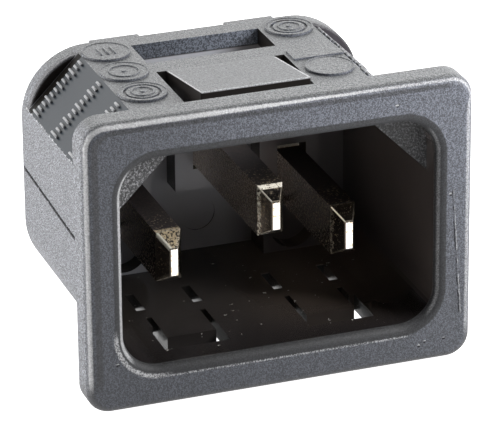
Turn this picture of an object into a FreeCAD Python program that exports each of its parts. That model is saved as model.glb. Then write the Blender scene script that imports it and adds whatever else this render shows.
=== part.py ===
import FreeCAD, Part
import math
import os

# Snap-in C14 power inlet for a panel cut-out.
#
# Frame, in millimetres: the origin is the centre of the panel cut-out, on the
# panel's front face. +Z is up, +X is right as seen from the mouth, and +Y
# points through the panel into the equipment. The flange lies on the panel at
# y <= 0, and the socket's mouth faces -Y.

Vector = FreeCAD.Vector

# --- Socket that the mating connector enters ---
SOCKET_WIDTH = 24.7
SOCKET_HEIGHT = 16.6
SOCKET_DEPTH = 19.45          # flange face to the socket's rear wall
SOCKET_TOP_CHAMFER = 4.85     # the two cut corners that key the connector
SOCKET_BOTTOM_RADIUS = 2.8
MOUTH_DEPTH = 2.15            # full rectangle in front of the cut corners
MOUTH_EDGE_RADIUS = 0.77

# --- Sleeve round the socket ---
SIDE_WALL = 1.25
TOP_WALL = 1.3
BODY_TOP_CHAMFER = 4.15
BODY_BOTTOM_RADIUS = 5.3

# --- Rear plate ---
PLATE_THICKNESS = 1.8
PLATE_CORNER_RADIUS = 5.3
PLATE_EDGE_RADIUS = 0.2       # front rim
LEDGE_WIDTH = 4.0             # two ledges behind the plate
LEDGE_PITCH = 11.1
LEDGE_LENGTH = 1.6
LEDGE_THICKNESS = 1.3
LEDGE_DROP = 0.46             # plate top to ledge top

# --- Flange ---
FLANGE_THICKNESS = 2.35
FLANGE_SIDE_OVERHANG = 1.7
FLANGE_TOP_OVERHANG = 1.95
FLANGE_CORNER_RADIUS = 1.85
FLANGE_EDGE_RADIUS = 0.75

# --- Contact pins with rear tabs ---
PIN_PITCH = 14.0              # line to neutral
PIN_DROP = 2.05               # line and neutral below the socket's centre
EARTH_RISE = 3.95             # earth above line and neutral
PIN_WIDTH = 2.0
PIN_HEIGHT = 4.0
PIN_RECESS = 4.3              # flange face to the line and neutral tips
EARTH_LEAD = 3.1              # how much further the earth pin reaches
TIP_LENGTH = 1.44
TIP_SIDE_BEVEL = 0.7
TIP_TOP_BEVEL = 0.88
PIN_EDGE_RADIUS = 0.12
SHOULDER_LENGTH = 1.6         # round-nosed stop on the blade, in front of the plate
SHOULDER_NOSE_RADIUS = 0.3
SHOULDER_CLEARANCE = 0.05     # shoulder to slot, above and below
TAB_WIDTH = 6.3
TAB_THICKNESS = 0.8
TAB_LENGTH = 8.0
TAB_CHAMFER = 1.0
TAB_HOLE_RADIUS = 0.9
TAB_HOLE_SETBACK = 4.1        # tab end to hole centre

# --- Blocks that carry the pins inside the socket ---
BLOCK_WIDTH = 4.95
BLOCK_HEIGHT = 8.3
BLOCK_DEPTH = 2.1
SLOT_SIDE_GAP = 0.4
SLOT_HEIGHT_GAP = 0.45        # above and below the blade
FOOT_DEPTH = 2.85             # foot below the line and neutral blocks
FOOT_RECESS_RADIUS = 1.9
FOOT_RECESS_DEPTH = 1.6
FOOT_SKIN = 0.25              # plastic between recess and pin
EJECTOR_RADIUS = 1.45
EJECTOR_DEPTH = 0.12
EJECTOR_DROP = 5.25           # mark's centre below the socket's centre

# --- Wide latch in the top wall ---
LATCH_WIDTH = 8.7
LATCH_SIDE_GAP = 0.8
LATCH_FRONT = 3.1             # panel face to the latch's front face
LATCH_LENGTH = 8.0
LATCH_RISE = 1.2
LATCH_TIP_THICKNESS = 1.9
LATCH_FRONT_GAP = 2.4
LATCH_EDGE_RADIUS = 0.12

# --- Window behind the wide latch ---
REAR_WINDOW_WIDTH = 10.4
REAR_WINDOW_LENGTH = 4.0

# --- Two narrow latches in the bottom wall ---
HOOK_PITCH = 11.2
HOOK_WIDTH = 3.9
HOOK_FRONT = 2.3
HOOK_LENGTH = 3.9
HOOK_RISE = 1.1
HOOK_RAMP_LENGTH = 6.8
HOOK_FRONT_GAP = 1.95
HOOK_OUTER_GAP = 0.85
HOOK_OUTER_GAP_LENGTH = 2.2   # wide part of the outer gap, behind the front face
HOOK_SLIT = 0.45              # narrow part of the gaps
RELIEF_WIDTH = 0.7            # relief slots beside the latch's root
RELIEF_LENGTH = 3.1
RELIEF_SETBACK = 1.4          # latch root to relief slot

# --- Low relief on the top ---
RELIEF_HEIGHT = 0.14
DISC_RADIUS = 1.9
DISC_INSET = 1.97             # disc centre to the edge of the top flat
DISC_FIRST_ROW = 7.4          # panel face to the first disc's centre
DISC_ROW_PITCH = 4.45
RING_WIDTH = 0.22
PAD_FRONT = 9.6
PAD_LENGTH = 1.8
PAD_GAP = 0.3                 # latch window to pad

# --- Sizes that follow from those above ---
MOUTH_FACE = -FLANGE_THICKNESS
REAR_WALL = SOCKET_DEPTH - FLANGE_THICKNESS
PLATE_BACK = REAR_WALL + PLATE_THICKNESS
CEILING = SOCKET_HEIGHT / 2
BODY_HALF_WIDTH = SOCKET_WIDTH / 2 + SIDE_WALL
BODY_TOP = CEILING + TOP_WALL
TOP_HALF_FLAT = BODY_HALF_WIDTH - BODY_TOP_CHAMFER
FLANGE_HALF_WIDTH = BODY_HALF_WIDTH + FLANGE_SIDE_OVERHANG
FLANGE_HALF_HEIGHT = BODY_TOP + FLANGE_TOP_OVERHANG
LINE_Z = -PIN_DROP
EARTH_Z = LINE_Z + EARTH_RISE
LATCH_ROOT = LATCH_FRONT + LATCH_LENGTH
LATCH_WINDOW_HALF = LATCH_WIDTH / 2 + LATCH_SIDE_GAP
HOOK_ROOT = HOOK_FRONT + HOOK_LENGTH
OVERLAP = 0.5                 # how far a cutting or joining tool runs past a face
TOLERANCE = 0.001

PINS = {
    "line_pin": (-PIN_PITCH / 2, LINE_Z, MOUTH_FACE + PIN_RECESS),
    "neutral_pin": (PIN_PITCH / 2, LINE_Z, MOUTH_FACE + PIN_RECESS),
    "earth_pin": (0.0, EARTH_Z, MOUTH_FACE + PIN_RECESS - EARTH_LEAD),
}


def box(x_range, y_range, z_range):
    """Block between three pairs of limits."""
    corner = Vector(x_range[0], y_range[0], z_range[0])
    size = [high - low for low, high in (x_range, y_range, z_range)]
    return Part.makeBox(*size, corner)


def around(centre, size):
    """Limits of a given size about a centre."""
    return (centre - size / 2, centre + size / 2)


def rounded_outline(corners, y):
    """Closed wire in the plane at y, from (x, z, corner radius) in order."""
    stops = []
    for index, (x, z, radius) in enumerate(corners):
        here = Vector(x, y, z)
        before = Vector(corners[index - 1][0], y, corners[index - 1][1])
        next_corner = corners[(index + 1) % len(corners)]
        after = Vector(next_corner[0], y, next_corner[1])
        if radius == 0:
            stops.append((here, here, here))
            continue
        to_before = (before - here).normalize()
        to_after = (after - here).normalize()
        half_angle = to_before.getAngle(to_after) / 2
        reach = radius / math.tan(half_angle)
        bisector = (to_before + to_after).normalize()
        middle = here + bisector * (radius / math.sin(half_angle) - radius)
        stops.append((here + to_before * reach, middle, here + to_after * reach))
    edges = []
    for index, (enter, middle, leave) in enumerate(stops):
        if not enter.isEqual(leave, TOLERANCE):
            edges.append(Part.Arc(enter, middle, leave).toShape())
        next_enter = stops[(index + 1) % len(stops)][0]
        edges.append(Part.makeLine(leave, next_enter))
    return Part.Wire(edges)


def prism(corners, y_start, y_end):
    """Solid with a rounded outline in XZ, running along +Y."""
    face = Part.Face(rounded_outline(corners, y_start))
    return face.extrude(Vector(0, y_end - y_start, 0))


def rectangle(half_width, half_height, radius):
    """Corners of a centred rectangle with one corner radius."""
    return [
        (half_width, half_height, radius),
        (-half_width, half_height, radius),
        (-half_width, -half_height, radius),
        (half_width, -half_height, radius),
    ]


def keyed_outline(half_width, half_height, chamfer, bottom_radius):
    """Rectangle with both top corners cut at 45 degrees and round bottom corners."""
    return [
        (half_width, half_height - chamfer, 0),
        (half_width - chamfer, half_height, 0),
        (chamfer - half_width, half_height, 0),
        (-half_width, half_height - chamfer, 0),
        (-half_width, -half_height, bottom_radius),
        (half_width, -half_height, bottom_radius),
    ]


def side_profile(points, x_range):
    """Solid from a closed outline of (y, z) points, as wide as x_range."""
    corners = [Vector(x_range[0], y, z) for y, z in points]
    face = Part.Face(Part.makePolygon(corners + corners[:1]))
    return face.extrude(Vector(x_range[1] - x_range[0], 0, 0))


def edges_in_plane(shape, y, half_width, half_height):
    """Edges that lie in the plane at y, inside a centred rectangle."""
    found = []
    for edge in shape.Edges:
        bounds = edge.BoundBox
        flat = abs(bounds.YMin - y) < TOLERANCE and abs(bounds.YMax - y) < TOLERANCE
        inside = (max(abs(bounds.XMin), abs(bounds.XMax)) < half_width
                  and max(abs(bounds.ZMin), abs(bounds.ZMax)) < half_height)
        if flat and inside:
            found.append(edge)
    return found


def make_flange():
    """Flange with a rounded front rim."""
    outline = rectangle(FLANGE_HALF_WIDTH, FLANGE_HALF_HEIGHT, FLANGE_CORNER_RADIUS)
    flange = prism(outline, MOUTH_FACE, 0)
    rim = edges_in_plane(flange, MOUTH_FACE, 2 * FLANGE_HALF_WIDTH, 2 * FLANGE_HALF_HEIGHT)
    return flange.makeFillet(FLANGE_EDGE_RADIUS, rim)


def make_shell():
    """Flange, sleeve and rear plate with the socket cut into them."""
    sleeve = prism(
        keyed_outline(BODY_HALF_WIDTH, BODY_TOP, BODY_TOP_CHAMFER, BODY_BOTTOM_RADIUS),
        -FLANGE_THICKNESS / 2, REAR_WALL + PLATE_THICKNESS / 2)
    plate = prism(rectangle(BODY_HALF_WIDTH, BODY_TOP, PLATE_CORNER_RADIUS),
                  REAR_WALL, PLATE_BACK)
    front_rim = edges_in_plane(plate, REAR_WALL, 2 * BODY_HALF_WIDTH, 2 * BODY_TOP)
    plate = plate.makeFillet(PLATE_EDGE_RADIUS, front_rim)
    half_width = SOCKET_WIDTH / 2
    mouth = prism(rectangle(half_width, CEILING, SOCKET_BOTTOM_RADIUS),
                  MOUTH_FACE - OVERLAP, MOUTH_FACE + MOUTH_DEPTH)
    socket = prism(
        keyed_outline(half_width, CEILING, SOCKET_TOP_CHAMFER, SOCKET_BOTTOM_RADIUS),
        MOUTH_FACE - OVERLAP, REAR_WALL)
    shell = make_flange().fuse([sleeve, plate]).cut([mouth, socket]).removeSplitter()
    lip = edges_in_plane(shell, MOUTH_FACE, half_width + TOLERANCE, CEILING + TOLERANCE)
    return shell.makeFillet(MOUTH_EDGE_RADIUS, lip)


def make_pin_blocks():
    """Block round each pin, and a foot below the line and neutral blocks."""
    blocks = []
    for x, z, _ in PINS.values():
        blocks.append(box(around(x, BLOCK_WIDTH),
                          (REAR_WALL - BLOCK_DEPTH, REAR_WALL + OVERLAP),
                          around(z, BLOCK_HEIGHT)))
    for x in (-PIN_PITCH / 2, PIN_PITCH / 2):
        blocks.append(box(around(x, BLOCK_WIDTH),
                          (REAR_WALL - FOOT_DEPTH, REAR_WALL + OVERLAP),
                          (-CEILING - OVERLAP, LINE_Z - PIN_HEIGHT / 2)))
    return blocks


def make_pin_slots():
    """Openings for the pins: roomy in the block, close in the plate."""
    slots = []
    for x, z, _ in PINS.values():
        left = x - PIN_WIDTH / 2
        slots.append(box((left, left + PIN_WIDTH + SLOT_SIDE_GAP),
                         (REAR_WALL - BLOCK_DEPTH - OVERLAP, REAR_WALL),
                         around(z, PIN_HEIGHT + 2 * SLOT_HEIGHT_GAP)))
        slots.append(box(around(x, PIN_WIDTH),
                         (REAR_WALL - OVERLAP, PLATE_BACK + OVERLAP),
                         around(z, PIN_HEIGHT)))
    return slots


def make_round_recesses():
    """Round recess in each foot, and the ejector mark on the rear wall."""
    recesses = []
    centre_z = LINE_Z - PIN_HEIGHT / 2 - FOOT_SKIN - FOOT_RECESS_RADIUS
    for x in (-PIN_PITCH / 2, PIN_PITCH / 2):
        start = Vector(x, REAR_WALL - FOOT_DEPTH, centre_z)
        recesses.append(Part.makeCylinder(FOOT_RECESS_RADIUS, FOOT_RECESS_DEPTH,
                                          start, Vector(0, 1, 0)))
    start = Vector(0, REAR_WALL, -EJECTOR_DROP)
    recesses.append(Part.makeCylinder(EJECTOR_RADIUS, EJECTOR_DEPTH, start, Vector(0, 1, 0)))
    return recesses


def make_top_openings():
    """Latch window and the window behind it, through the top wall."""
    height = (CEILING - OVERLAP, BODY_TOP + OVERLAP)
    latch_window = box(around(0, 2 * LATCH_WINDOW_HALF),
                       (LATCH_FRONT - LATCH_FRONT_GAP, LATCH_ROOT), height)
    rear_window = box(around(0, REAR_WINDOW_WIDTH),
                      (REAR_WALL - REAR_WINDOW_LENGTH, REAR_WALL), height)
    return [latch_window, rear_window]


def make_top_latch():
    """Cantilever latch that rises from its rear root to its front face."""
    tip = BODY_TOP + LATCH_RISE
    points = [
        (LATCH_ROOT + OVERLAP, BODY_TOP),
        (LATCH_ROOT, BODY_TOP),
        (LATCH_FRONT, tip),
        (LATCH_FRONT, tip - LATCH_TIP_THICKNESS),
        (LATCH_ROOT, CEILING),
        (LATCH_ROOT + OVERLAP, CEILING),
    ]
    latch = side_profile(points, around(0, LATCH_WIDTH))
    front_edges = [edge for edge in latch.Edges
                   if edge.BoundBox.YMin < LATCH_FRONT + TOLERANCE
                   and edge.BoundBox.YMax < LATCH_ROOT - TOLERANCE]
    return latch.makeFillet(LATCH_EDGE_RADIUS, front_edges)


def make_bottom_openings(side):
    """Gaps round one bottom latch; side is 1 for +X and -1 for -X."""
    inner = HOOK_PITCH / 2 - HOOK_WIDTH / 2
    outer = HOOK_PITCH / 2 + HOOK_WIDTH / 2
    relief = (HOOK_ROOT + RELIEF_SETBACK, HOOK_ROOT + RELIEF_SETBACK + RELIEF_LENGTH)
    gaps = [
        ((inner - HOOK_SLIT, outer + HOOK_OUTER_GAP), (HOOK_FRONT - HOOK_FRONT_GAP, HOOK_FRONT)),
        ((outer, outer + HOOK_OUTER_GAP), (HOOK_FRONT, HOOK_FRONT + HOOK_OUTER_GAP_LENGTH)),
        ((outer, outer + HOOK_SLIT), (HOOK_FRONT, HOOK_ROOT)),
        ((inner - HOOK_SLIT, inner), (HOOK_FRONT, HOOK_ROOT)),
        ((outer, outer + RELIEF_WIDTH), relief),
        ((inner - RELIEF_WIDTH, inner), relief),
    ]
    openings = []
    for (near, far), y_range in gaps:
        x_range = (near, far) if side > 0 else (-far, -near)
        openings.append(box(x_range, y_range, (-BODY_TOP - OVERLAP, -CEILING + OVERLAP)))
    return openings


def make_bottom_latch(side):
    """Ramp that stands out below one bottom latch."""
    root = -BODY_TOP + OVERLAP
    points = [
        (HOOK_FRONT, root),
        (HOOK_FRONT, -BODY_TOP - HOOK_RISE),
        (HOOK_FRONT + HOOK_RAMP_LENGTH, -BODY_TOP),
        (HOOK_FRONT + HOOK_RAMP_LENGTH, root),
    ]
    return side_profile(points, around(side * HOOK_PITCH / 2, HOOK_WIDTH))


def make_ledges():
    """Two ledges that stand out behind the rear plate."""
    top = BODY_TOP - LEDGE_DROP
    ledges = []
    for x in (-LEDGE_PITCH / 2, LEDGE_PITCH / 2):
        ledges.append(box(around(x, LEDGE_WIDTH),
                          (PLATE_BACK - OVERLAP, PLATE_BACK + LEDGE_LENGTH),
                          (top - LEDGE_THICKNESS, top)))
    return ledges


def make_relief():
    """Plain raised discs and one pad on the top of the sleeve."""
    column = TOP_HALF_FLAT - DISC_INSET
    centres = [(-column, DISC_FIRST_ROW + row * DISC_ROW_PITCH) for row in range(3)]
    centres += [(column, DISC_FIRST_ROW), (column, DISC_FIRST_ROW + 2 * DISC_ROW_PITCH)]
    relief = []
    for x, y in centres:
        start = Vector(x, y, BODY_TOP - OVERLAP)
        relief.append(Part.makeCylinder(DISC_RADIUS, OVERLAP + RELIEF_HEIGHT, start))
    relief.append(box((LATCH_WINDOW_HALF + PAD_GAP, TOP_HALF_FLAT),
                      (PAD_FRONT, PAD_FRONT + PAD_LENGTH),
                      (BODY_TOP - OVERLAP, BODY_TOP + RELIEF_HEIGHT)))
    return relief


def make_ring_grooves():
    """Circular groove inside the outline of the discs next to the flange and plate."""
    column = TOP_HALF_FLAT - DISC_INSET
    grooves = []
    for x, row in ((-column, 0), (column, 2)):
        start = Vector(x, DISC_FIRST_ROW + row * DISC_ROW_PITCH, BODY_TOP)
        outer = Part.makeCylinder(DISC_RADIUS - 2 * RING_WIDTH, RELIEF_HEIGHT * 2, start)
        inner = Part.makeCylinder(DISC_RADIUS - 3 * RING_WIDTH, RELIEF_HEIGHT * 2, start)
        grooves.append(outer.cut(inner))
    return grooves


def make_housing():
    """The moulded housing, one piece with its latches."""
    housing = make_shell().fuse(make_pin_blocks())
    cuts = make_pin_slots() + make_round_recesses() + make_top_openings()
    latches = [make_top_latch()]
    for side in (-1, 1):
        cuts += make_bottom_openings(side)
        latches.append(make_bottom_latch(side))
    housing = housing.cut(cuts).fuse(latches + make_ledges() + make_relief())
    return housing.cut(make_ring_grooves()).removeSplitter()


def make_pin(x, z, tip):
    """Blade with a bevelled tip, and the flat tab behind the rear plate."""
    shoulder = tip + TIP_LENGTH
    x_low, x_high = around(x, PIN_WIDTH)
    z_low, z_high = around(z, PIN_HEIGHT)
    full = Part.makePolygon([
        Vector(x_low, shoulder, z_low), Vector(x_high, shoulder, z_low),
        Vector(x_high, shoulder, z_high), Vector(x_low, shoulder, z_high),
        Vector(x_low, shoulder, z_low)])
    small = Part.makePolygon([
        Vector(x_low + TIP_SIDE_BEVEL, tip, z_low + TIP_TOP_BEVEL),
        Vector(x_high - TIP_SIDE_BEVEL, tip, z_low + TIP_TOP_BEVEL),
        Vector(x_high - TIP_SIDE_BEVEL, tip, z_high - TIP_TOP_BEVEL),
        Vector(x_low + TIP_SIDE_BEVEL, tip, z_high - TIP_TOP_BEVEL),
        Vector(x_low + TIP_SIDE_BEVEL, tip, z_low + TIP_TOP_BEVEL)])
    bevelled_tip = Part.makeLoft([small, full], True, True)
    blade = bevelled_tip.fuse(box((x_low, x_high), (shoulder, PLATE_BACK), (z_low, z_high)))
    blade = blade.removeSplitter()
    front_edges = [edge for edge in blade.Edges if edge.BoundBox.YMax < shoulder + TOLERANCE]
    blade = blade.makeFillet(PIN_EDGE_RADIUS, front_edges)
    return blade.fuse([make_shoulder(x, z), make_tab(x, z)]).removeSplitter()


def make_shoulder(x, z):
    """Stop on the blade inside the block's slot, rounded at its front."""
    height = PIN_HEIGHT + 2 * (SLOT_HEIGHT_GAP - SHOULDER_CLEARANCE)
    front = REAR_WALL - SHOULDER_LENGTH
    shoulder = box(around(x, PIN_WIDTH), (front, REAR_WALL), around(z, height))
    noses = [edge for edge in shoulder.Edges
             if edge.BoundBox.YMax < front + TOLERANCE
             and edge.BoundBox.ZLength < TOLERANCE]
    return shoulder.makeFillet(SHOULDER_NOSE_RADIUS, noses)


def make_tab(x, z):
    """Flat tab with cut corners and a round detent hole."""
    end = PLATE_BACK + TAB_LENGTH
    z_low, z_high = around(z, TAB_WIDTH)
    points = [
        (PLATE_BACK, z_low),
        (end - TAB_CHAMFER, z_low),
        (end, z_low + TAB_CHAMFER),
        (end, z_high - TAB_CHAMFER),
        (end - TAB_CHAMFER, z_high),
        (PLATE_BACK, z_high),
    ]
    x_range = around(x, TAB_THICKNESS)
    hole = Part.makeCylinder(TAB_HOLE_RADIUS, 2 * TAB_THICKNESS,
                             Vector(x - TAB_THICKNESS, end - TAB_HOLE_SETBACK, z),
                             Vector(1, 0, 0))
    return side_profile(points, x_range).cut(hole)


def main():
    os.makedirs("parts", exist_ok=True)
    make_housing().exportStep("parts/housing.step")
    for name, (x, z, tip) in PINS.items():
        make_pin(x, z, tip).exportStep("parts/" + name + ".step")


main()
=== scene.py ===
import math
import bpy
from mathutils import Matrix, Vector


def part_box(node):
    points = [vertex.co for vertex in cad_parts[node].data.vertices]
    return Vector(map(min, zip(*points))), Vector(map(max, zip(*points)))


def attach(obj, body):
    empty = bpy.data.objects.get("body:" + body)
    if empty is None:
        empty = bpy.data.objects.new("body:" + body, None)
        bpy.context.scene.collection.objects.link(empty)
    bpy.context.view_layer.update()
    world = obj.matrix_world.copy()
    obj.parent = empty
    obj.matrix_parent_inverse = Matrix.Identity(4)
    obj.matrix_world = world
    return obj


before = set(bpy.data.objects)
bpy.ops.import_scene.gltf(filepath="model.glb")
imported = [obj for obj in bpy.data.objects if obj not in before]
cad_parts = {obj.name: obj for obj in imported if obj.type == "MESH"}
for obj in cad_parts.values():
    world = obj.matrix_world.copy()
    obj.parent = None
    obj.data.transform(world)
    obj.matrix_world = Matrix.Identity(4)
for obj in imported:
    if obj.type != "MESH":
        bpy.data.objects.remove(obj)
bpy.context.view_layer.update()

from types import SimpleNamespace

import bpy
from mathutils import Matrix, Vector

# --- Sizes of the part, in millimetres ---
# x runs to the right as seen from the mouth, y into the equipment, z up.
# The flange's rear face lies at y = 0.

MM = 0.001
low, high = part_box("housing")

FLANGE_HALF_WIDTH = high.x / MM
FLANGE_HALF_HEIGHT = high.z / MM
FLANGE_BOTTOM_Z = low.z / MM
FLANGE_RADIUS = 1.85
MOUTH_Y = low.y / MM

RECESS_HALF_WIDTH = 12.35
RECESS_HALF_HEIGHT = 8.3
RECESS_RADIUS = 2.8
RECESS_SKIN = 0.07            # the recess's finish reaches this far into its walls
SLOT_DEPTH = 1.15             # and this far down the slots of the bottom wall
KEY_CUT = 17.4                # |x| + z on the two cut corners of the recess
KEY_Y = MOUTH_Y + 2.15        # front face of these corners
REAR_WALL_Y = MOUTH_Y + 19.45
PLATE_BACK_Y = REAR_WALL_Y + 1.8

SLEEVE_HALF_WIDTH = FLANGE_HALF_WIDTH - 1.7
SLEEVE_TOP_Z = FLANGE_HALF_HEIGHT - 1.95
SLEEVE_BOTTOM_Z = FLANGE_BOTTOM_Z + 1.95
CHAMFER = 4.15
CHAMFER_FOOT_Z = SLEEVE_TOP_Z - CHAMFER
# The chamfers' rear ends are darkened with painted shadow.
CHAMFER_SHADOW_Y = 16.15         # the chamfers' dark rear ends start here
WINDOW_HALF_WIDTH = 5.3       # the top wall's windows
LATCH_Y = (3.0, 11.0)
LATCH_HALF_WIDTH = 4.4
LATCH_RISES = (9.62, 9.7)     # z between which the latch's masks set in

PIN_X = 7.0                   # line at -x, neutral at +x, earth in the middle
PIN_Z, EARTH_Z = -2.05, 1.9
PIN_TIP_Y, EARTH_TIP_Y = MOUTH_Y + 4.3, MOUTH_Y + 1.2
BLADE_HALF_WIDTH, BLADE_HALF_HEIGHT = 1.0, 2.0
TIP_HALF_WIDTH, TIP_HALF_HEIGHT = 0.30, 1.12
NOSE_Y = REAR_WALL_Y - 1.66   # round stops on the line and neutral blades

# --- Low relief and marks that the scene adds, in millimetres ---

RELIEF_ROOT = 0.05            # raised shapes start this far below the surface
BAR_STEPS, RING_STEPS = 16, 64
STROKE_ROWS_Y = (15.5, 10.85, 6.4)
STROKES_PER_ROW = 12
STROKE_START, STROKE_PITCH = 0.40, 0.46
LONG_STROKE, SHORT_STROKE = 1.35, 0.85
STROKE_WIDTH, STROKE_HEIGHT = 0.22, 0.20

DISC_TOP_Z = SLEEVE_TOP_Z + 0.14
DISC_X = SLEEVE_HALF_WIDTH - CHAMFER - 1.97
DISC_ROWS_Y = (7.4, 11.85, 16.3)
DISC_CENTRES = [(-DISC_X, y) for y in DISC_ROWS_Y] + [(DISC_X, DISC_ROWS_Y[0]), (DISC_X, DISC_ROWS_Y[2])]
OUTER_RING_RADIUS = 1.83
OUTER_RING_WIDTH, OUTER_RING_HEIGHT = 0.12, 0.05
INNER_RINGS = (               # x, y, radius
    (DISC_X, DISC_ROWS_Y[2], 0.85),
    (-DISC_X, DISC_ROWS_Y[0], 0.85),
    (-DISC_X, DISC_ROWS_Y[1], 1.15),
)
INNER_RING_WIDTH, INNER_RING_HEIGHT = 0.16, 0.08
DOT_LENGTH, DOT_WIDTH, DOT_HEIGHT = 0.44, 0.40, 0.08
BAR_PITCH, BAR_LENGTH, BAR_WIDTH, BAR_HEIGHT = 0.55, 1.5, 0.17, 0.09

PARTING_Z = -0.82             # at y = 0, climbing towards the plate
PARTING_SLOPE = 0.052
PARTING_STEPS = 60

DENTS = (                     # x, z on the flange's front
    (11.0, -10.1), (11.45, -9.8), (13.05, -9.75), (13.45, 2.05), (9.1, 9.8), (-13.0, -7.6),
)
DENT_RADIUS = (0.16, 0.10)    # outer edge, full strength
SCRATCH_X = 13.75             # at z = 0
SCRATCH_LEAN = 0.066

# --- Colours, linear ---

# Sides, front and top differ a little in colour by the way they face: painted light.
SIDES = (0.084, 0.087, 0.097)
FRONT = (0.073, 0.078, 0.094)
TOP = (0.079, 0.082, 0.085)
RECESS_MOUTH = (0.014, 0.012, 0.012)
RECESS_SHADED_LEFT, RECESS_LIT_RIGHT = (0.038, 0.033, 0.030), (0.120, 0.094, 0.076)
RIGHT_WALL_LIT = (0.110, 0.092, 0.086)
BACK_WALL_LIT_LEFT, BACK_WALL_SHADED_RIGHT = (0.37, 0.375, 0.41), (0.110, 0.096, 0.096)
SLOT_SIDE_LIT = (0.065, 0.063, 0.060)
SLOT_END = (0.012, 0.011, 0.010)
FLAKE = (0.60, 0.58, 0.54)
CHAMFER_FACE = (0.018, 0.023, 0.029)
CHAMFER_END_SHADOW = (0.008, 0.007, 0.006)
PLATE_SHADED_LEFT, PLATE_LIT_RIGHT = (0.020, 0.017, 0.015), (0.055, 0.050, 0.058)
PLATE_EDGE = (0.048, 0.047, 0.052)
WINDOW_SIDE = (0.014, 0.012, 0.011)
WINDOW_BACK = (0.060, 0.066, 0.080)
KEY_LIT_LEFT, KEY_SHADED_RIGHT = (0.11, 0.11, 0.115), (0.042, 0.042, 0.044)
LIP_SHADE = (0.012, 0.012, 0.013)
LATCH_TOP = (0.040, 0.042, 0.046)
PAINTED_HIGHLIGHT = (0.62, 0.62, 0.63)
PAINTED_SHADE_LINE = (0.016, 0.015, 0.016)

NICKEL, WORN_NICKEL = (0.84, 0.82, 0.78), (0.62, 0.50, 0.34)
TIP_BEVEL_SHADE = (0.15, 0.13, 0.12)
BLADE_SIDE, BLADE_STREAK = (0.62, 0.52, 0.43), (0.82, 0.72, 0.62)
TAB_SIDE, TAB_STREAK = (0.30, 0.285, 0.26), (0.40, 0.385, 0.36)
BLADE_TOP_SHADE, BLADE_TOP_SHADE_STREAK = (0.030, 0.023, 0.024), (0.075, 0.060, 0.055)
# Colours of the pins' painted glints; the golden one also tints the line pin's worn tip.
FLECK, GLINT = (0.78, 0.63, 0.41), (0.98, 0.93, 0.80)

TABLE = (0.55, 0.55, 0.55)
WHITE = (1.0, 1.0, 1.0)

# --- Stage, in metres, watts and degrees ---

FLOOR_HALF_WIDTH = 1.5
FLOOR_GAP = 0.00002
FLOOR_GLOW = 1.15             # seen by the camera and in reflections only
BACKLIGHT, OVERHEAD_SHARE = 3.1, 0.42
FRONT_LIGHT = 0.08
LAMPS = (                     # name, position, target, size, power
    ("right_card", (0.055, -0.030, 0.040), (0.0, 0.0, 0.0), (0.03, 0.03), 0.088),
    ("left_box", (-0.120, 0.035, 0.010), (0.0, 0.010, 0.0), (0.08, 0.06), 0.16),
)
CAMERA_AZIMUTH, CAMERA_ELEVATION, CAMERA_ROLL = -19.66, 23.62, 0.52
CAMERA_DISTANCE = 0.2829
CAMERA_TARGET = (-0.00240, -0.0020, 0.00256)
SENSOR_WIDTH = 36.0           # mm
FOCAL_RATIO = 7.678           # focal length over sensor width


# --- Node helpers ---

def is_socket(value):
    return isinstance(value, bpy.types.NodeSocket)


def rgba(colour):
    """A socket as it is, or three numbers with full alpha."""
    return colour if is_socket(colour) else (*colour, 1.0)


class Tree:
    """Short calls for building a node tree."""

    def __init__(self, tree):
        tree.nodes.clear()
        self.tree = tree

    def add(self, kind, inputs=None, **settings):
        node = self.tree.nodes.new(kind)
        for name, value in settings.items():
            setattr(node, name, value)
        for name, value in (inputs or {}).items():
            if is_socket(value):
                self.tree.links.new(value, node.inputs[name])
            else:
                node.inputs[name].default_value = value
        return node

    def math(self, operation, *values):
        return self.add("ShaderNodeMath", dict(enumerate(values)), operation=operation).outputs[0]

    def fold(self, operation, values):
        result = values[0]
        for value in values[1:]:
            result = self.math(operation, result, value)
        return result

    def product(self, *values):
        return self.fold("MULTIPLY", values)

    def total(self, *values):
        return self.fold("ADD", values)

    def most(self, *values):
        return self.fold("MAXIMUM", values)

    def minus(self, value, taken):
        return self.math("SUBTRACT", value, taken)

    def absolute(self, value):
        return self.math("ABSOLUTE", value)

    def inverse(self, value):
        return self.minus(1.0, value)

    def ramp(self, value, start, end, first=0.0, last=1.0):
        """Smooth change from first to last while value goes from start to end."""
        node = self.add("ShaderNodeMapRange", {
            "Value": value, "From Min": start, "From Max": end, "To Min": first, "To Max": last,
        }, interpolation_type="SMOOTHSTEP")
        return node.outputs[0]

    def band(self, value, start, end, edge):
        """1 between start and end, 0 outside."""
        rise = self.ramp(value, start - edge, start + edge)
        fall = self.ramp(value, end - edge, end + edge, 1.0, 0.0)
        return self.product(rise, fall)

    def mix(self, factor, first, last):
        """Between two numbers."""
        return self.add("ShaderNodeMix", {0: factor, 2: first, 3: last}).outputs[0]

    def mix_colour(self, factor, first, last):
        node = self.add("ShaderNodeMix", {0: factor, 6: rgba(first), 7: rgba(last)}, data_type="RGBA")
        return node.outputs[2]

    def paint(self, base, *coats):
        """Lay colours over a base, each where its mask is 1."""
        for mask, coat in coats:
            base = self.mix_colour(mask, base, coat)
        return base

    def scaled(self, vector, factor):
        return self.add("ShaderNodeVectorMath", {0: vector, "Scale": factor}, operation="SCALE").outputs[0]

    def parts(self, vector):
        return list(self.add("ShaderNodeSeparateXYZ", {0: vector}).outputs)

    def noise(self, vector, scale, detail=2.0, roughness=0.5):
        node = self.add("ShaderNodeTexNoise", {
            "Vector": vector, "Scale": scale, "Detail": detail, "Roughness": roughness,
        })
        return node.outputs[0]


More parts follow.
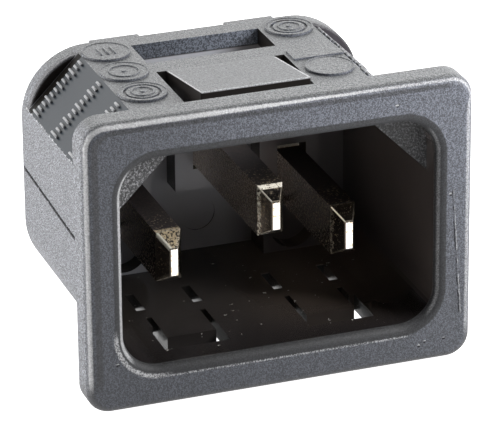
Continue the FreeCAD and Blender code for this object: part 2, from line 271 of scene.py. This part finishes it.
class Surface(Tree):
    """A new material, with the shaded point in millimetres and its true normal."""

    def __init__(self, name):
        self.material = bpy.data.materials.new(name)
        self.material.use_nodes = True
        super().__init__(self.material.node_tree)
        self.position = self.scaled(self.add("ShaderNodeTexCoord").outputs["Object"], 1 / MM)
        self.x, self.y, self.z = self.parts(self.position)
        self.nx, self.ny, self.nz = self.parts(self.add("ShaderNodeNewGeometry").outputs["True Normal"])
        self.abs_x, self.abs_z = self.absolute(self.x), self.absolute(self.z)

    def outline_distance(self, half_width, half_height, radius):
        """Distance in x and z from a rounded rectangle's outline, negative inside it."""
        beside = self.minus(self.abs_x, half_width - radius)
        above = self.minus(self.abs_z, half_height - radius)
        out_x, out_z = self.most(beside, 0.0), self.most(above, 0.0)
        square = self.total(self.product(out_x, out_x), self.product(out_z, out_z))
        within = self.math("MINIMUM", self.most(beside, above), 0.0)
        return self.minus(self.total(self.math("SQRT", square), within), radius)

    def finish(self, bump, shader):
        """Close the tree with a Principled shader over a bump; both take inputs by name."""
        normal = self.add("ShaderNodeBump", bump).outputs[0]
        principled = self.add("ShaderNodeBsdfPrincipled", {**shader, "Normal": normal})
        self.add("ShaderNodeOutputMaterial", {0: principled.outputs[0]})
        return self.material


# --- Housing: black polyamide ---
# In the masks, numbers beside x, y and z are millimetres, and a ramp's start and end are the two
# sides of a soft edge. Numbers from 0 to 1 alone are strengths.

def housing_regions(t):
    """Masks of the housing's faces that differ in finish."""
    facing_front = t.ramp(t.ny, -0.9, -0.95)

    slots = t.product(t.ramp(t.z, 0.0, -0.5), t.ramp(t.y, 0.1, 0.2), SLOT_DEPTH)
    beside = t.most(t.minus(t.abs_x, RECESS_HALF_WIDTH + RECESS_SKIN),
                    t.minus(t.minus(t.abs_z, RECESS_HALF_HEIGHT + RECESS_SKIN), slots))
    past_cut = t.minus(t.total(t.abs_x, t.z), KEY_CUT)
    beside = t.most(beside, t.mix(t.ramp(t.y, -0.15, -0.05), -1.0, past_cut))
    inside = t.product(t.ramp(beside, -0.06, 0.06, 1.0, 0.0),
                       t.ramp(t.y, MOUTH_Y + 0.5, MOUTH_Y + 0.75),
                       t.ramp(t.y, REAR_WALL_Y + 1.0, REAR_WALL_Y + 0.8))
    outside = t.inverse(inside)
    back_wall = t.product(inside, facing_front, t.ramp(t.y, REAR_WALL_Y - 3.2, REAR_WALL_Y - 3.0))
    right_wall = t.product(inside, t.ramp(t.nx, -0.8, -0.95), t.ramp(t.x, 11.5, 12.0))
    corner_fill = t.product(inside, t.band(t.y, KEY_Y - 0.06, KEY_Y + 0.06, 0.02), facing_front)

    slot_side = t.product(t.ramp(t.z, -8.32, -8.36), t.ramp(t.z, -9.58, -9.5),
                          t.ramp(t.absolute(t.nx), 0.9, 0.95), t.band(t.y, 0.2, 4.6, 0.1),
                          t.ramp(t.abs_x, 12.4, 12.3))
    slot_end = t.product(t.ramp(t.z, -8.36, -8.40), facing_front, t.ramp(t.y, 4.6, 5.0))

    slanted = t.product(t.absolute(t.nx), t.absolute(t.nz))
    chamfer = t.product(t.band(slanted, 0.45, 0.55, 0.03), t.ramp(t.y, 0.02, 0.08),
                        t.ramp(t.y, REAR_WALL_Y - 0.02, REAR_WALL_Y - 0.06), outside)
    # Painted shadow on the chamfers' rear ends, with almost no specular.
    chamfer_end_shadow = t.product(chamfer, t.ramp(t.y, CHAMFER_SHADOW_Y, CHAMFER_SHADOW_Y + 0.15))

    rear_face = t.product(facing_front, t.ramp(t.y, REAR_WALL_Y - 0.08, REAR_WALL_Y - 0.04))
    plate_front = t.product(rear_face, outside)
    plate_edge = t.product(outside, t.band(t.y, REAR_WALL_Y - 0.1, REAR_WALL_Y + 0.66, 0.04),
                           t.ramp(t.abs_x, 9.4, 9.6), t.ramp(t.z, 5.3, 5.5))
    within_window = t.ramp(t.abs_x, WINDOW_HALF_WIDTH - 0.05, WINDOW_HALF_WIDTH + 0.05, 1.0, 0.0)
    window_side = t.product(within_window, t.ramp(t.z, 8.2, 8.35), t.ramp(t.absolute(t.nz), 0.6, 0.5),
                            t.ramp(t.y, 0.1, 0.2))
    window_back = t.product(plate_front, t.ramp(t.abs_x, WINDOW_HALF_WIDTH, WINDOW_HALF_WIDTH - 0.1))
    latch_top = t.product(t.ramp(t.abs_x, LATCH_HALF_WIDTH - 0.02, LATCH_HALF_WIDTH - 0.06),
                          t.band(t.y, *LATCH_Y, 0.1), t.ramp(t.nz, 0.8, 0.9), t.ramp(t.z, *LATCH_RISES))

    on_flange = t.product(outside, t.ramp(t.y, -0.3, -0.5))
    smooth = t.most(chamfer, plate_front, window_side)
    spark = t.most(t.product(outside, t.inverse(smooth)), corner_fill)
    return SimpleNamespace(
        inside=inside, back_wall=back_wall, right_wall=right_wall, corner_fill=corner_fill,
        slot_side=slot_side, slot_end=slot_end, chamfer=chamfer, chamfer_end_shadow=chamfer_end_shadow,
        plate_front=plate_front, plate_edge=plate_edge, window_side=window_side, window_back=window_back,
        latch_top=latch_top, on_flange=on_flange, spark=spark)


def housing_grain(t):
    """Noises of the spark-eroded texture."""
    grain = t.noise(t.position, 5.0, 2.0, 0.55)
    fine = t.noise(t.position, 10.5, 1.0, 0.5)
    mottle = t.total(t.product(grain, 0.25), t.product(fine, 0.75))
    wobble = t.product(t.minus(t.noise(t.position, 1.3, 3.0, 0.6), 0.5), 0.07)
    return SimpleNamespace(grain=grain, fine=fine, mottle=mottle, wobble=wobble)


def housing_shade(t, region, texture, painted_highlight):
    """Factor on the colour: speckled where eroded, evened out where highlights are painted."""
    level_face = t.ramp(t.absolute(t.ny), 0.5, 0.2)
    side_face = t.ramp(t.absolute(t.nx), 0.8, 0.95)
    contrast = t.mix(level_face, t.ramp(t.x, -12.0, 12.0, 1.6, 1.65), t.mix(side_face, 2.3, 3.6))
    speckle = t.math("POWER", t.ramp(texture.mottle, 0.36, 0.64, 0.66, 1.38), contrast)
    # Bright crystal specks on the corner fills: painted glints.
    corner_glints = t.ramp(t.noise(t.position, 5.5, 2.0, 0.7), 0.50, 0.60, 0.50, 3.0)
    shade = t.mix(region.corner_fill, t.mix(region.spark, 1.0, speckle), corner_glints)
    cloud = t.noise(t.position, 0.35, 2.0, 0.5)
    return t.product(t.mix(t.product(painted_highlight, 0.75), shade, 1.0), t.mix(cloud, 0.93, 1.07))


def rim_marks(t, on_flange, wobble):
    """Painted highlight along the ridge of the flange's rim, and painted shade in a band just inside it and
    along the bottom.
    """
    top, bottom = t.ramp(t.z, 8.9, 9.9), t.ramp(t.z, -8.6, -10.2)
    left, right = t.ramp(t.x, -13.0, -13.9), t.ramp(t.x, 13.0, 13.9)
    edge = t.total(t.outline_distance(FLANGE_HALF_WIDTH, FLANGE_HALF_HEIGHT, FLANGE_RADIUS), wobble)

    level = t.most(t.product(top, t.ramp(t.x, 0.0, 12.0, 0.95, 0.35)), t.product(left, 0.85),
                   t.product(right, 0.32))
    near_front = t.ramp(t.y, MOUTH_Y + 0.50, MOUTH_Y + 0.32)
    slimmer = t.mix(t.product(top, t.ramp(t.x, -6.0, 4.0)), 1.0, 1.7)
    ridge_edge = t.total(edge, t.product(right, t.inverse(top), 0.18))
    place = t.product(t.total(ridge_edge, 0.28), slimmer)
    ridge = t.product(near_front, t.band(place, -0.14, 0.14, 0.07), level, t.inverse(bottom))

    inward = t.product(edge, t.mix(left, 1.0, 0.72))
    strip_level = t.product(t.most(top, left), t.inverse(right), t.inverse(bottom))
    rim_shade = t.product(on_flange, t.band(inward, -0.84, -0.50, 0.07), strip_level)
    low_strip = t.product(on_flange, bottom, t.ramp(edge, -0.7, -0.3))
    return ridge, t.most(rim_shade, low_strip)


def lip_marks(t, on_flange, texture):
    """The lip darkened with painted shade, and thin painted highlights where its ends catch the light."""
    outline = t.outline_distance(RECESS_HALF_WIDTH, RECESS_HALF_HEIGHT, RECESS_RADIUS)
    lip = t.total(outline, texture.wobble)
    on_lip = t.product(on_flange, t.ramp(lip, 0.86, 0.74))
    low_corner = t.product(t.ramp(t.x, -8.5, -10.2), t.ramp(t.z, -4.6, -6.2))
    left_line = t.product(t.band(lip, 0.10, 0.36, 0.06), t.ramp(t.x, -11.5, -12.2), 0.6)
    right_line = t.product(t.band(lip, 0.12, 0.30, 0.06), t.ramp(t.x, 11.5, 12.2), 0.3)
    bottom_line = t.product(t.band(lip, 0.76, 0.90, 0.05), t.ramp(t.z, -7.6, -8.3), t.ramp(t.x, 10.6, 9.4),
                            t.ramp(texture.fine, 0.40, 0.60, 0.1, 0.5))
    corner_line = t.product(t.band(lip, 0.56, 0.88, 0.08), low_corner,
                            t.ramp(texture.fine, 0.35, 0.60, 0.3, 0.8))
    lip_highlights = t.product(t.most(left_line, right_line, bottom_line, corner_line), on_flange)
    return on_lip, lip_highlights


def edge_highlights(t):
    """Painted highlights along the top latch's front and sides, the chamfers' feet and the raised strokes.
    """
    front, back = LATCH_Y
    latch = t.most(t.product(t.band(t.y, front, front + 0.3, 0.03),
                             t.ramp(t.abs_x, LATCH_HALF_WIDTH + 0.1, LATCH_HALF_WIDTH)),
                   t.product(t.band(t.abs_x, LATCH_HALF_WIDTH - 0.2, LATCH_HALF_WIDTH, 0.03),
                             t.band(t.y, front, back, 0.1)))
    latch = t.product(latch, t.ramp(t.nz, 0.2, 0.5), t.ramp(t.z, *LATCH_RISES))
    patches = t.ramp(t.noise(t.position, 2.2, 2.0, 0.6), 0.50, 0.56)
    foot = t.product(t.band(t.z, CHAMFER_FOOT_Z - 0.07, CHAMFER_FOOT_Z + 0.05, 0.03),
                     t.ramp(t.abs_x, 13.4, 13.5), t.ramp(t.y, 0.0, 0.1), patches, 0.5)
    above_chamfer = t.minus(t.total(t.abs_x, t.z), SLEEVE_HALF_WIDTH + CHAMFER_FOOT_Z)
    strokes = t.product(t.ramp(above_chamfer, 0.08, 0.20), t.band(t.y, 0.1, 17.0, 0.05), 0.45)
    return t.most(foot, strokes, t.product(latch, 0.35))


def scratch_marks(t, on_flange, texture):
    """One long scratch and a few dents of the flange's front, each drawn as painted shadow on one side and
    painted highlight on the other.
    """
    leaning = t.total(t.x, t.product(t.z, SCRATCH_LEAN))
    across = t.minus(leaning, t.total(SCRATCH_X, t.product(texture.wobble, 2.0)))
    along = t.product(t.band(t.z, -7.8, 2.4, 0.2), on_flange,
                      t.ramp(t.noise(t.position, 0.9, 2.0, 0.6), 0.36, 0.54, 0.1, 0.9))
    uneven = t.product(t.minus(texture.grain, 0.5), 0.25)
    shades, glints = [], []
    for dent_x, dent_z in DENTS:
        aside, above = t.minus(t.x, dent_x), t.minus(t.z, dent_z)
        square = t.total(t.product(aside, aside), t.product(above, above))
        hollow = t.ramp(t.total(t.math("SQRT", square), uneven), *DENT_RADIUS)
        shades.append(t.product(hollow, t.ramp(above, 0.06, -0.02)))
        glints.append(t.product(hollow, t.ramp(above, 0.00, 0.06)))
    dark = t.most(t.product(t.band(across, -0.07, 0.06, 0.03), along),
                  t.product(t.most(*shades), on_flange))
    light = t.most(t.product(t.band(across, 0.08, 0.16, 0.03), along, 0.45),
                   t.product(t.most(*glints), on_flange, 0.7))
    return dark, light


def parting_line_shadow(t):
    """Painted shadow along the parting line's flash, mostly below it, on both sides of the sleeve."""
    climbing = t.total(t.product(t.y, PARTING_SLOPE), PARTING_Z)
    broken = t.ramp(t.noise(t.position, 1.1, 2.0, 0.6), 0.33, 0.38)
    return t.product(t.band(t.minus(t.z, climbing), -0.24, 0.09, 0.03), t.ramp(t.abs_x, 13.45, 13.5),
                     t.band(t.y, 4.5, 18.8, 0.6), broken)


def housing_colour(t, region, texture, on_lip, lip_highlights, painted_highlight, rim_shade, shadow_lines):
    """The outside first, then each region and mark over it."""
    # Painted light: the front grows lighter towards the top right and darker towards the bottom, as under a
    # lamp at the upper right.
    front_painted_light = t.mix(t.ramp(t.z, -8.0, 8.0), 0.80, t.ramp(t.x, -14.0, 3.0, 0.90, 1.30))
    outer = t.paint(SIDES, (t.ramp(t.ny, -0.5, -0.9), t.scaled(FRONT, front_painted_light)),
                    (t.ramp(t.nz, 0.7, 0.9), TOP))
    # Painted light: the recess grows lighter to the right and deeper in.
    recess_painted_light = t.mix_colour(t.ramp(t.x, -3.0, 8.0), RECESS_SHADED_LEFT, RECESS_LIT_RIGHT)
    inner = t.mix_colour(t.ramp(t.y, -1.5, 9.0), RECESS_MOUTH, recess_painted_light)
    flakes = t.product(t.ramp(t.noise(t.position, 1.7, 4.0, 0.65), 0.68, 0.71), region.inside,
                       t.ramp(t.z, -8.0, -8.2))
    # Glossy streaks on the window's back, brighter to the right: painted sheen.
    window_sheen = t.product(t.ramp(texture.mottle, 0.42, 0.58, 0.5, 1.6), t.ramp(t.x, -5.0, 5.0, 1.25, 1.9))
    return t.paint(
        outer,
        (region.inside, inner),
        # Painted light on the back wall's left, and painted shade on its right, where the pins shadow it.
        (region.back_wall, t.mix_colour(t.ramp(t.x, 1.5, 5.5), BACK_WALL_LIT_LEFT, BACK_WALL_SHADED_RIGHT)),
        # Painted light on the bottom slots' sides.
        (region.slot_side, SLOT_SIDE_LIT),
        (region.slot_end, SLOT_END),
        # Painted light on the recess's right wall.
        (region.right_wall, RIGHT_WALL_LIT),
        (flakes, FLAKE),
        (region.chamfer, CHAMFER_FACE),
        (region.chamfer_end_shadow, CHAMFER_END_SHADOW),
        (region.plate_edge, PLATE_EDGE),
        # The plate's front is painted shade on the left, behind the flange, and painted light on the right.
        (region.plate_front, t.mix_colour(t.ramp(t.x, 6.0, 8.0), PLATE_SHADED_LEFT, PLATE_LIT_RIGHT)),
        (region.window_side, WINDOW_SIDE),
        (region.window_back, t.scaled(WINDOW_BACK, window_sheen)),
        # The left corner fill painted lighter, the right one darker: painted light and shade.
        (region.corner_fill, t.mix_colour(t.ramp(t.x, -1.0, 1.0), KEY_LIT_LEFT, KEY_SHADED_RIGHT)),
        # Painted shade over the lip, left off where its highlights are painted.
        (t.product(on_lip, t.inverse(lip_highlights), 0.88), LIP_SHADE),
        (t.product(region.latch_top, 0.4), LATCH_TOP),
        (t.product(painted_highlight, 0.85), PAINTED_HIGHLIGHT),
        # Painted shade: the band inside the rim, the parting line's shadow and the scratch's dark side.
        (t.most(t.product(rim_shade, 0.65), t.product(shadow_lines, 0.9)), PAINTED_SHADE_LINE),
    )


def housing_material():
    """Black polyamide: spark-eroded outside, smooth chamfers, glossy dark recess."""
    t = Surface("housing_plastic")
    region, texture = housing_regions(t), housing_grain(t)
    ridge, rim_shade = rim_marks(t, region.on_flange, texture.wobble)
    on_lip, lip_highlights = lip_marks(t, region.on_flange, texture)
    scratch, scratch_highlight = scratch_marks(t, region.on_flange, texture)
    # Painted highlights: the rim's ridge, the lip's ends, the latch, the chamfers' feet, the strokes and
    # the scratch's lit side.
    painted_highlight = t.most(ridge, lip_highlights, edge_highlights(t), scratch_highlight)
    shadow_lines = t.most(parting_line_shadow(t), scratch)

    base = housing_colour(t, region, texture, on_lip, lip_highlights, painted_highlight, rim_shade, shadow_lines)
    eroded = t.mix(region.corner_fill, t.mix(on_lip, 0.6, 0.12), 1.0)
    recess_gloss = t.mix(region.back_wall, 0.22, 0.45)
    dull = t.most(region.plate_front, region.window_side, region.chamfer, region.slot_end, region.slot_side)
    bump = {
        "Strength": t.mix(region.spark, 0.03, eroded),
        "Distance": 0.0001,
        "Height": t.total(texture.grain, t.product(texture.fine, 0.35)),
    }
    shader = {
        "Base Color": t.scaled(base, housing_shade(t, region, texture, painted_highlight)),
        "Roughness": t.mix(region.spark, t.mix(region.inside, 0.36, recess_gloss),
                           t.mix(painted_highlight, t.mix(on_lip, 0.52, 0.66), 0.38)),
        "Specular IOR Level": t.mix(t.most(region.chamfer_end_shadow, shadow_lines), t.mix(dull, 0.5, 0.15), 0.02),
    }
    return t.finish(bump, shader)


# --- Pins: nickel-plated brass ---

def pin_material():
    """Bright pitted tips with painted glints, and dull brownish blades with painted dark tops."""
    t = Surface("nickel_plate")
    earth, line = t.ramp(t.abs_x, 3.0, 2.5), t.ramp(t.x, -3.0, -3.5)
    behind_tip = t.minus(t.y, t.mix(earth, PIN_TIP_Y, EARTH_TIP_Y))
    from_axis = t.minus(t.x, t.mix(earth, t.product(t.math("SIGN", t.x), PIN_X), 0.0))
    from_middle = t.minus(t.z, t.mix(earth, PIN_Z, EARTH_Z))
    off_x, off_z = t.absolute(from_axis), t.absolute(from_middle)
    drift = t.product(t.minus(t.noise(t.position, 1.4, 3.0, 0.6), 0.5), 0.8)
    blade = t.ramp(t.total(behind_tip, drift), 1.3, 1.9)
    upper = t.ramp(t.nz, 0.6, 0.8)
    tab = t.ramp(t.y, REAR_WALL_Y + 0.5, REAR_WALL_Y + 1.0)
    stretched = t.add("ShaderNodeMapping", {"Vector": t.position, "Scale": (9.0, 0.8, 9.0)}).outputs[0]
    drawn = t.noise(stretched, 1.0, 3.0, 0.6)
    pits = t.noise(t.position, 5.0, 3.0, 0.7)

    # Painted glints where the tip's edges and the stops' noses catch the light, most of all the upper left
    # edges.
    across = t.math("DIVIDE", t.minus(off_x, TIP_HALF_WIDTH), BLADE_HALF_WIDTH - TIP_HALF_WIDTH)
    upward = t.math("DIVIDE", t.minus(off_z, TIP_HALF_HEIGHT), BLADE_HALF_HEIGHT - TIP_HALF_HEIGHT)
    apart = t.absolute(t.minus(across, upward))
    upper_left = t.product(t.ramp(from_axis, 0.05, -0.05), t.ramp(from_middle, -0.05, 0.05))
    mitre = t.product(t.ramp(apart, t.mix(line, 0.17, 0.40), t.mix(line, 0.06, 0.24)),
                      t.band(behind_tip, 0.05, 1.40, 0.05), t.mix(upper_left, 0.30, 1.0))
    rim = t.product(t.band(behind_tip, 0.04, 0.15, 0.03), 0.4)
    end = t.band(behind_tip, 1.10, 1.56, 0.05)
    top_end = t.product(end, earth, t.ramp(t.nz, 0.3, 0.5), t.ramp(pits, 0.36, 0.46, 0.15, 1.0))
    side_end = t.product(end, t.inverse(line), t.ramp(t.nx, -0.3, -0.5), t.ramp(pits, 0.46, 0.54),
                         t.mix(earth, 0.45, 1.0))
    outer_end = t.product(t.band(behind_tip, 1.42, 1.56, 0.04), 0.25)
    nose = t.product(t.band(t.y, NOSE_Y, NOSE_Y + 0.41, 0.03), t.ramp(off_z, 1.98, 2.04),
                     t.ramp(t.z, -1.0, -0.8))
    edges = t.most(mitre, nose, rim, top_end, side_end, outer_end)
    # Golden speckle on the line pin's tip: worn plating tint, brightened as a painted glint.
    gilt = t.product(line, t.ramp(t.nz, 0.3, 0.5), t.band(behind_tip, 0.02, 1.9, 0.15),
                     t.ramp(pits, 0.40, 0.56, 0.20, 1.0))
    glint_flecks = t.product(t.ramp(pits, 0.59, 0.64), t.band(behind_tip, 0.3, 4.5, 1.2), 0.6)
    glints_and_gilt = t.most(edges, gilt, glint_flecks)

    tip = t.mix_colour(t.ramp(pits, 0.50, 0.60), NICKEL, WORN_NICKEL)
    # The tip's sloped faces darkened: painted dark reflection.
    bevel_shade = t.product(t.ramp(t.ny, -0.97, -0.93), t.ramp(pits, 0.60, 0.50, 0.75, 0.92))
    streak = t.ramp(drawn, 0.3, 0.7)
    side = t.paint(t.mix_colour(streak, BLADE_SIDE, BLADE_STREAK),
                   (tab, t.mix_colour(streak, TAB_SIDE, TAB_STREAK)))
    # Blade tops near black: painted dark reflection of the recess.
    blade_top_shade = t.mix_colour(t.ramp(pits, 0.35, 0.65), BLADE_TOP_SHADE, BLADE_TOP_SHADE_STREAK)
    base = t.paint(tip, (bevel_shade, TIP_BEVEL_SHADE), (blade, t.mix_colour(upper, side, blade_top_shade)),
                   (glints_and_gilt, t.mix_colour(edges, FLECK, GLINT)))
    blade_roughness = t.product(blade, t.mix(upper, t.mix(tab, 0.10, 0.22), 0.35))
    bump = {
        "Strength": t.mix(blade, 0.30, 0.05),
        "Distance": 0.00005,
        "Height": t.total(drawn, t.product(pits, 0.6)),
    }
    shader = {
        "Base Color": base,
        "Roughness": t.total(t.ramp(pits, 0.3, 0.7, 0.10, 0.20), blade_roughness),
        "Metallic": t.mix(glints_and_gilt, 1.0, 0.25),
    }
    return t.finish(bump, shader)


def dress_nodes(plastic, nickel):
    for name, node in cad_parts.items():
        node.data.materials.clear()
        node.data.materials.append(plastic if name == "housing" else nickel)


# --- Low relief on the sleeve ---

class Relief:
    """Collects small raised shapes into one mesh, in millimetres."""

    def __init__(self):
        self.points = []
        self.faces = []

    def add_rings(self, rings, closed_top):
        """Skin between rings of equally many points, from the base up."""
        start = len(self.points)
        count = len(rings[0])
        for ring in rings:
            self.points += ring
        for level in range(len(rings) - 1):
            for k in range(count):
                here, after = start + level * count + k, start + level * count + (k + 1) % count
                self.faces.append((here, after, after + count, here + count))
        if closed_top:
            self.faces.append(tuple(start + (len(rings) - 1) * count + k for k in range(count)))

    def add_bar(self, centre, along, across, length, width, height):
        """Low rounded bar; along and across are unit vectors in the surface."""
        out = along.cross(across)
        straight = (length - width) / 2
        levels = ((0.0, -RELIEF_ROOT), (0.0, 0.5 * height), (0.05, 0.85 * height), (0.09, height))
        rings = []
        for shrink, rise in levels:
            half_width = width / 2 - shrink * width
            ring = []
            for k in range(BAR_STEPS):
                angle = 2 * math.pi * (k + 0.5) / BAR_STEPS
                reach = half_width * math.cos(angle) + math.copysign(straight, math.cos(angle))
                ring.append(centre + along * reach + across * (half_width * math.sin(angle)) + out * rise)
            rings.append(ring)
        self.add_rings(rings, True)

    def add_ring(self, centre, radius, width, height):
        """Raised circle on a level surface."""
        section = ((width / 2, -RELIEF_ROOT), (width / 2, 0.6 * height), (width / 4, height),
                   (-width / 4, height), (-width / 2, 0.6 * height), (-width / 2, -RELIEF_ROOT))
        angles = [2 * math.pi * k / RING_STEPS for k in range(RING_STEPS)]
        rings = []
        for offset, rise in section:
            reach = radius + offset
            rings.append([centre + Vector((reach * math.cos(angle), reach * math.sin(angle), rise))
                          for angle in angles])
        self.add_rings(rings, False)

    def add_piece(self, name, material):
        mesh = bpy.data.meshes.new(name)
        mesh.from_pydata([point * MM for point in self.points], [], self.faces)
        mesh.materials.append(material)
        mesh.polygons.foreach_set("use_smooth", [True] * len(mesh.polygons))
        piece = bpy.data.objects.new(name, mesh)
        bpy.context.scene.collection.objects.link(piece)
        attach(piece, "root")


def make_graduations(plastic):
    """Rows of plain strokes across both chamfers."""
    relief = Relief()
    slant = Vector((1, 0, 1)).normalized()
    for mirror in (1, -1):
        along = Vector((0, -mirror, 0))
        across = Vector((slant.x * mirror, 0, slant.z))
        for row_y in STROKE_ROWS_Y:
            foot = Vector((-SLEEVE_HALF_WIDTH * mirror, row_y, CHAMFER_FOOT_Z))
            for k in range(STROKES_PER_ROW):
                centre = foot + across * (STROKE_START + STROKE_PITCH * k)
                length = LONG_STROKE if k % 3 == 0 else SHORT_STROKE
                relief.add_bar(centre, along, across, length, STROKE_WIDTH, STROKE_HEIGHT)
    relief.add_piece("chamfer_graduations", plastic)


def make_disc_marks(plastic):
    """Plain circles, dots and bars on the discs of the top."""
    relief = Relief()
    right, back = Vector((1, 0, 0)), Vector((0, 1, 0))
    for x, y in DISC_CENTRES:
        relief.add_ring(Vector((x, y, DISC_TOP_Z)), OUTER_RING_RADIUS, OUTER_RING_WIDTH, OUTER_RING_HEIGHT)
    for x, y, radius in INNER_RINGS:
        centre = Vector((x, y, DISC_TOP_Z))
        relief.add_ring(centre, radius, INNER_RING_WIDTH, INNER_RING_HEIGHT)
        relief.add_bar(centre, right, back, DOT_LENGTH, DOT_WIDTH, DOT_HEIGHT)
    for k in (-1, 0, 1):
        centre = Vector((-DISC_X + BAR_PITCH * k, DISC_ROWS_Y[2], DISC_TOP_Z))
        relief.add_bar(centre, back, -right, BAR_LENGTH, BAR_WIDTH, BAR_HEIGHT)
    relief.add_piece("disc_marks", plastic)


def make_parting_line(plastic):
    """Thin, slightly wavy flash line of the mould along both sides of the sleeve."""
    relief = Relief()
    for side in (-1, 1):
        x = side * SLEEVE_HALF_WIDTH
        rings = []
        for k in range(PARTING_STEPS + 1):
            y = 0.05 + (PLATE_BACK_Y - 0.3) * k / PARTING_STEPS
            wave = 0.03 * math.sin(2.3 * k) * math.sin(0.37 * k + 1)
            z = PARTING_Z + PARTING_SLOPE * y + wave
            size = 0.045 + 0.025 * math.sin(1.7 * k + side)
            root, crest = x - side * 0.03, x + side * size
            rings.append([Vector((root, y, z + size)), Vector((crest, y, z + 0.3 * size)),
                          Vector((crest, y, z - 0.3 * size)), Vector((root, y, z - size))])
        relief.add_rings(rings, False)
    relief.add_piece("parting_line", plastic)


# --- Stage ---

def make_floor():
    """White table that the flange's and the rear plate's lower edges stand on."""
    mesh = bpy.data.meshes.new("floor")
    half = FLOOR_HALF_WIDTH
    corners = [(-half, -half, 0), (half, -half, 0), (half, half, 0), (-half, half, 0)]
    mesh.from_pydata(corners, [], [(0, 1, 2, 3)])
    floor = bpy.data.objects.new("floor", mesh)
    bpy.context.scene.collection.objects.link(floor)
    floor.rotation_euler = (math.atan2(SLEEVE_BOTTOM_Z - FLANGE_BOTTOM_Z, PLATE_BACK_Y), 0, 0)
    floor.location = (0, 0, FLANGE_BOTTOM_Z * MM - FLOOR_GAP)

    material = bpy.data.materials.new("white_table")
    material.use_nodes = True
    t = Tree(material.node_tree)
    diffuse = t.add("ShaderNodeBsdfDiffuse", {"Color": rgba(TABLE)})
    glow = t.add("ShaderNodeEmission", {"Color": rgba(WHITE), "Strength": FLOOR_GLOW})
    lifted = t.add("ShaderNodeAddShader", {0: diffuse.outputs[0], 1: glow.outputs[0]})
    rays = t.add("ShaderNodeLightPath").outputs
    seen = t.most(rays["Is Camera Ray"], rays["Is Glossy Ray"])
    mixed = t.add("ShaderNodeMixShader", {0: seen, 1: diffuse.outputs[0], 2: lifted.outputs[0]})
    t.add("ShaderNodeOutputMaterial", {0: mixed.outputs[0]})
    mesh.materials.append(material)


def make_world():
    """White studio: bright behind and above the object, dark in front of it."""
    world = bpy.data.worlds.new("studio")
    bpy.context.scene.world = world
    world.use_nodes = True
    t = Tree(world.node_tree)
    x, y, z = t.parts(t.add("ShaderNodeTexCoord").outputs["Generated"])
    behind = t.ramp(y, -0.04, 0.35)
    overhead = t.ramp(z, 0.6, 0.9, 1.0, OVERHEAD_SHARE)
    ahead = t.product(t.inverse(behind), t.ramp(t.absolute(x), 0.85, 0.35), FRONT_LIGHT)
    level = t.total(ahead, t.product(behind, overhead, BACKLIGHT))
    shown = t.mix(t.add("ShaderNodeLightPath").outputs["Is Camera Ray"], level, 1.0)
    background = t.add("ShaderNodeBackground", {"Color": rgba(WHITE), "Strength": shown})
    t.add("ShaderNodeOutputWorld", {0: background.outputs[0]})


def add_lamp(name, position, target, size, power):
    data = bpy.data.lights.new(name, "AREA")
    data.shape = "RECTANGLE"
    data.size, data.size_y = size
    data.energy = power
    lamp = bpy.data.objects.new(name, data)
    bpy.context.scene.collection.objects.link(lamp)
    place = Vector(position)
    lamp.location = place
    lamp.rotation_euler = (Vector(target) - place).to_track_quat("-Z", "Y").to_euler()
    lamp.visible_camera = False


def make_camera():
    """Long lens, left of the front and above it."""
    azimuth, elevation, roll = (math.radians(a) for a in (CAMERA_AZIMUTH, CAMERA_ELEVATION, CAMERA_ROLL))
    back = Vector((math.sin(azimuth) * math.cos(elevation),
                   -math.cos(azimuth) * math.cos(elevation),
                   math.sin(elevation)))
    right = (-back).cross(Vector((0, 0, 1))).normalized()
    up = right.cross(-back)
    turned_right = math.cos(roll) * right - math.sin(roll) * up
    turned_up = math.sin(roll) * right + math.cos(roll) * up
    data = bpy.data.cameras.new("camera")
    data.sensor_fit = "HORIZONTAL"
    data.sensor_width = SENSOR_WIDTH
    data.lens = FOCAL_RATIO * SENSOR_WIDTH
    data.clip_start = 0.01
    data.clip_end = 20
    camera = bpy.data.objects.new("camera", data)
    bpy.context.scene.collection.objects.link(camera)
    basis = Matrix((turned_right, turned_up, back)).transposed().to_4x4()
    camera.matrix_world = Matrix.Translation(Vector(CAMERA_TARGET) + back * CAMERA_DISTANCE) @ basis
    bpy.context.scene.camera = camera


housing_plastic = housing_material()
dress_nodes(housing_plastic, pin_material())
make_graduations(housing_plastic)
make_disc_marks(housing_plastic)
make_parting_line(housing_plastic)
make_floor()
make_world()
for lamp in LAMPS:
    add_lamp(*lamp)
make_camera()
bpy.context.scene.view_settings.view_transform = "Standard"
